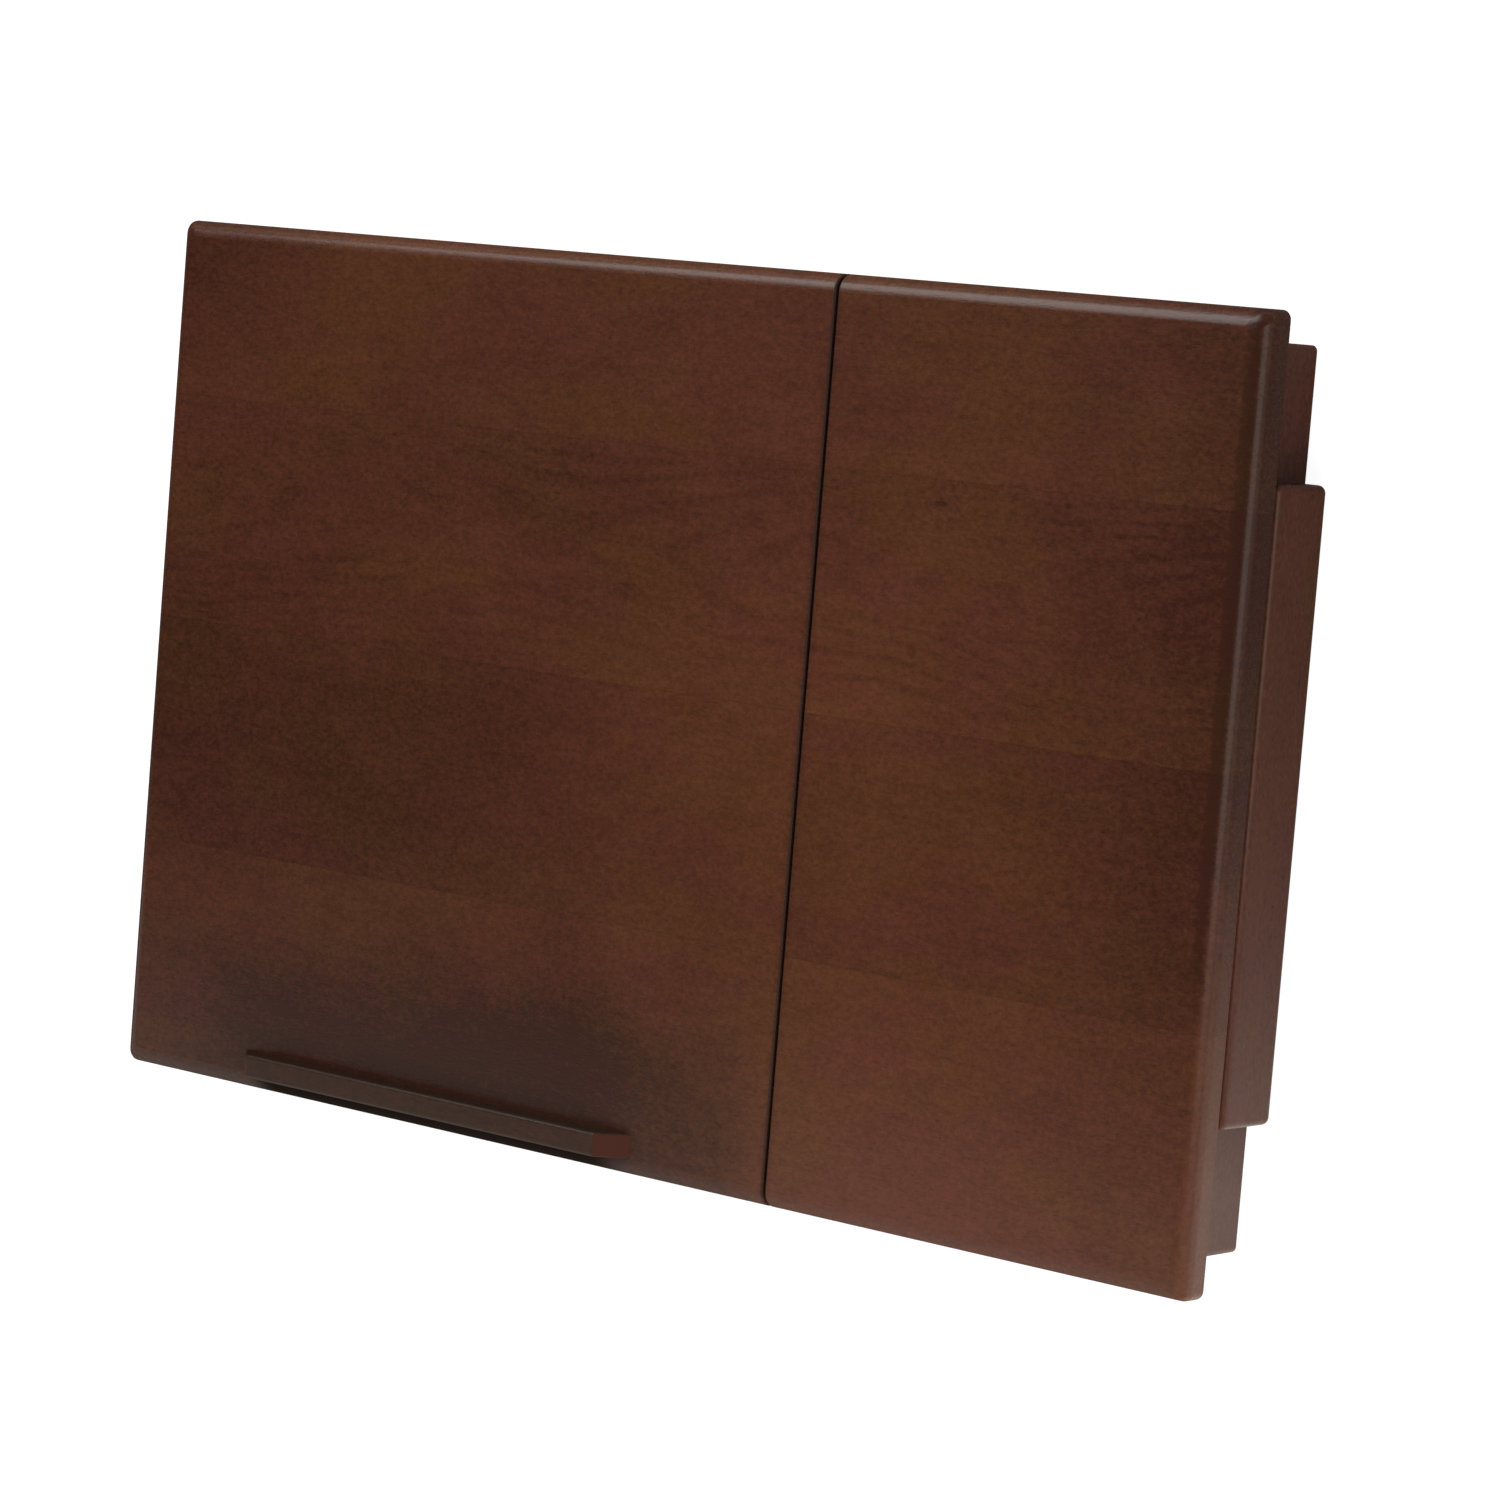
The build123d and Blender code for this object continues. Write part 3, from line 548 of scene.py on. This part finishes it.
# Name, place, facing, radius, material, slot and body of each screw.
SCREWS = []
for side, hinge_x in HINGE_MIDDLES:
    for end, shift in (("a", -HINGE_SCREW_SPREAD), ("b", HINGE_SCREW_SPREAD)):
        for body, level, facing in (
            ("frame", FRAME_LEAF_TOP + PROUD, UP),
            ("lid", LID_LEAF_UNDERSIDE - PROUD, DOWN),
        ):
            SCREWS.append((
                f"hinge_screw_{body}_{side}_{end}", (hinge_x + shift, HINGE_SCREW_Y, level),
                facing, LEAF_SCREW_RADIUS, brass, "hinge_brass", body,
            ))
for side, y in (("front", -CLEAT_SCREW_Y), ("back", CLEAT_SCREW_Y)):
    for end, x in (("a", 127.5), ("b", 240.0)):
        SCREWS.append((
            f"cleat_screw_{side}_{end}", (x, y, CLEAT_UNDERSIDE - PROUD),
            DOWN, WOOD_SCREW_RADIUS, zinc, "zinc_steel", "frame",
        ))
for side, y in (("front", -63.0), ("back", 63.0)):
    SCREWS.append((
        f"drawer_screw_{side}", (INNER_FRONT_X - PROUD, y, 24.0),
        INWARD, WOOD_SCREW_RADIUS, zinc, "zinc_steel", "drawer",
    ))
for side, offset in (("left", -BLOCK_OFFSET), ("right", BLOCK_OFFSET)):
    for end, y in (("front", -41.6), ("back", -27.0)):
        SCREWS.append((
            f"block_screw_{side}_{end}", (LID_MIDDLE_X + offset, y, BLOCK_UNDERSIDE - PROUD),
            DOWN, BLOCK_SCREW_RADIUS, zinc, "zinc_steel", "lid",
        ))

# Each recess is turned further than the last, as a row of driven screws is.
FIRST_TURN = 0.3
NEXT_TURN = 1.1
for number, (name, place, facing, radius, material, slot, body) in enumerate(SCREWS, 1):
    turn = FIRST_TURN + NEXT_TURN * number
    screw_head(name, Vector(place) * MM, facing, radius * MM, material, body, turn)


# ---------------------------------------------------------- floor and world

# What the lacquer mirrors of the room is warm, and of the floor nearly white.
WARM_MIRRORED = (1.0, 0.92, 0.76)
PALE_MIRRORED = (1.0, 0.98, 0.94)

FLOOR_HALF = 6.0
FLOOR_DROP = 0.0004


def sheet(name, segments, half_size, matrix=None):
    """A flat sheet of the set, square unless matrix changes it."""
    grid = bmesh.new()
    bmesh.ops.create_grid(grid, x_segments=segments, y_segments=segments, size=half_size)
    if matrix is not None:
        grid.transform(matrix)
    data = bpy.data.meshes.new(name)
    grid.to_mesh(data)
    grid.free()
    item = bpy.data.objects.new(name, data)
    bpy.context.scene.collection.objects.link(item)
    return item


floor = sheet("floor", 8, FLOOR_HALF)
floor.location = (0.0, 0.0, -FLOOR_DROP)

# With the legs unfolded the desk stands on their pads, so the floor stays under the lowest foot.
FOOT_X = 0.09425
FOOT_Z = 0.011
for side, foot_x in (("left", -FOOT_X), ("right", FOOT_X)):
    foot = bpy.data.objects.new(f"foot_{side}", None)
    bpy.context.scene.collection.objects.link(foot)
    foot.location = (foot_x, 0.0, FOOT_Z)
    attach(foot, f"{side}_legs")
    limit = floor.constraints.new("FLOOR")
    limit.target = foot
    limit.floor_location = "FLOOR_NEGATIVE_Z"

# The floor is white to the camera. What the lacquer mirrors of it is a painted reflection, a glow
# graded by place: to the right of the desk it brightens towards the front, and elsewhere it is dim
# up to the desk's front edge.
WHITE = (1.0, 1.0, 1.0)
s = shader("floor_white")
path = s.add("LightPath").outputs
seen = s.math("MAXIMUM", path["Is Camera Ray"], path["Is Glossy Ray"])
seen = s.math("MAXIMUM", seen, path["Is Transmission Ray"])
across, along, _ = s.parts(s.add("TexCoord").outputs["Object"])
nearness = s.math("POWER", s.span(along, 0.20, -0.16, smooth=False), 4.0)
beside = s.span(nearness, 0.0, 1.0, 0.07, 1.0, smooth=False)
before = s.span(along, -0.205, -0.34, 0.01, 0.26, smooth=False)
right_side = s.span(across, 0.283, 0.287, smooth=False)
mirrored = s.add("Mix", {0: right_side, 2: before, 3: beside}).outputs[0]
level = s.add("Mix", {0: path["Is Glossy Ray"], 2: 0.92, 3: mirrored}).outputs[0]
tint = s.blend(path["Is Glossy Ray"], WHITE, PALE_MIRRORED)
plain = s.add("BsdfDiffuse", {"Color": (0.80, 0.80, 0.80, 1.0)})
grey = s.blend(path["Is Glossy Ray"], (0.22, 0.22, 0.22), (0.06, 0.06, 0.06))
shaded = s.add("BsdfDiffuse", {"Color": grey})
glow = s.add("Emission", {"Color": tint, "Strength": level})
white = s.add("AddShader", {0: shaded.outputs[0], 1: glow.outputs[0]})
both = s.add("MixShader", {0: seen, 1: plain.outputs[0], 2: white.outputs[0]})
# Seen from below, the floor is clear, so that the underside of the desk shows.
from_below = s.times(path["Is Camera Ray"], s.add("NewGeometry").outputs["Backfacing"])
through = s.add("BsdfTransparent")
surface = s.add("MixShader", {0: from_below, 1: both.outputs[0], 2: through.outputs[0]})
s.add("OutputMaterial", {"Surface": surface.outputs[0]})
floor.data.materials.append(s.block)

# The world is white to the camera and plain light to the rest. The lacquer mirrors a glow low
# over the horizon, which is weaker at the far left.
AMBIENT = 0.42
world = bpy.data.worlds.new("studio")
bpy.context.scene.world = world
world.cycles.sampling_method = "NONE"
s = Shader(world)
path = s.add("LightPath").outputs
sideways, _, height = s.parts(s.add("TexCoord").outputs["Generated"])
ceiling = s.span(height, 0.06, 0.36, 0.60, 0.015)
ceiling = s.times(ceiling, s.span(sideways, -0.90, -0.70, 0.10, 1.0))
strength = s.add("Mix", {0: path["Is Glossy Ray"], 2: AMBIENT, 3: ceiling}).outputs[0]
clear = s.math("MAXIMUM", path["Is Camera Ray"], path["Is Transmission Ray"])
strength = s.add("Mix", {0: clear, 2: strength, 3: 1.0}).outputs[0]
tint = s.blend(path["Is Glossy Ray"], WHITE, WARM_MIRRORED)
backdrop = s.add("Background", {"Color": tint, "Strength": strength})
s.add("OutputWorld", {"Surface": backdrop.outputs[0]})


# -------------------------------------------------------------------- lights


def softbox(name, place, target, width, height, level, glossy=True):
    """A soft lamp.

    level is the brightness that it alone gives a white sheet that faces it at target.
    """
    lamp = bpy.data.lights.new(name, "AREA")
    lamp.shape = "RECTANGLE"
    lamp.size = width
    lamp.size_y = height
    away = Vector(place) - Vector(target)
    lamp.energy = level * math.pi * math.pi * away.length_squared
    item = bpy.data.objects.new(name, lamp)
    bpy.context.scene.collection.objects.link(item)
    item.location = place
    item.rotation_mode = "QUATERNION"
    item.rotation_quaternion = away.to_track_quat("Z", "Y")
    item.visible_camera = False
    item.visible_glossy = glossy
    return item


MIDDLE = (0.0, 0.0, 0.05)
softbox("fill", (0.9, 0.5, 2.3), MIDDLE, 1.6, 1.6, 0.04, glossy=False)
softbox("key", (-0.87, 1.41, 1.43), MIDDLE, 1.4, 1.4, 0.42)
softbox("key_soft", (-0.97, 1.41, 1.40), MIDDLE, 1.4, 1.4, 0.20, glossy=False)
softbox("back", (-0.20, 1.50, 0.62), MIDDLE, 1.6, 0.6, 0.58, glossy=False)
softbox("low_front", (0.0, -1.00, 0.30), MIDDLE, 1.0, 0.25, 0.15, glossy=False)
softbox("side", (0.80, -0.60, 0.48), (0.30, 0.0, 0.03), 0.6, 0.3, 0.80, glossy=False)
strip = softbox("right_strip", (1.72, -0.15, 1.08), MIDDLE, 1.2, 1.00, 0.120)
strip.visible_diffuse = False
strip.data.color = PALE_MIRRORED

# A white card stands along the front of the desk and fades upwards.
CARD_LENGTH = 2.4
CARD_HEIGHT = 0.60
CARD_MIDDLE = (0.0, -0.215, 0.36)
upright = Matrix.Rotation(math.pi / 2, 4, "X") @ Matrix.Diagonal((CARD_LENGTH, CARD_HEIGHT, 1, 1))
card = sheet("card", 2, 0.5, Matrix.Translation(CARD_MIDDLE) @ upright)
card.visible_camera = False
card.visible_shadow = False
s = shader("card_white")
up_card = s.parts(s.add("TexCoord").outputs["Object"])[2]
fading = s.span(up_card, 0.06, 0.66, 0.55, 0.0, smooth=False)
glow = s.add("Emission", {"Color": (*WHITE, 1.0), "Strength": fading})
s.add("OutputMaterial", {"Surface": glow.outputs[0]})
card.data.materials.append(s.block)


# -------------------------------------------------------------------- camera

# The camera is rolled: its place and its own axes, as fitted to the desk's edges.
CAMERA_PLACE = (1.425, 0.198, 1.7172)
CAMERA_RIGHT = Vector((0.7655, 0.0804, -0.6384))
CAMERA_UP = Vector((-0.1220, 0.9923, -0.0213))
CAMERA_FORWARD = Vector((-0.6318, -0.0942, -0.7694))
LENS_MM = 124.55
SENSOR_MM = 36.0

view = bpy.data.cameras.new("photo_camera")
view.sensor_width = SENSOR_MM
view.lens = LENS_MM
view.clip_start = 0.1
view.clip_end = 50.0
camera = bpy.data.objects.new("photo_camera", view)
bpy.context.scene.collection.objects.link(camera)
turned = Matrix((CAMERA_RIGHT, CAMERA_UP, -CAMERA_FORWARD)).transposed().to_4x4()
camera.matrix_world = Matrix.Translation(CAMERA_PLACE) @ turned
bpy.context.scene.camera = camera
bpy.context.scene.view_settings.view_transform = "Standard"
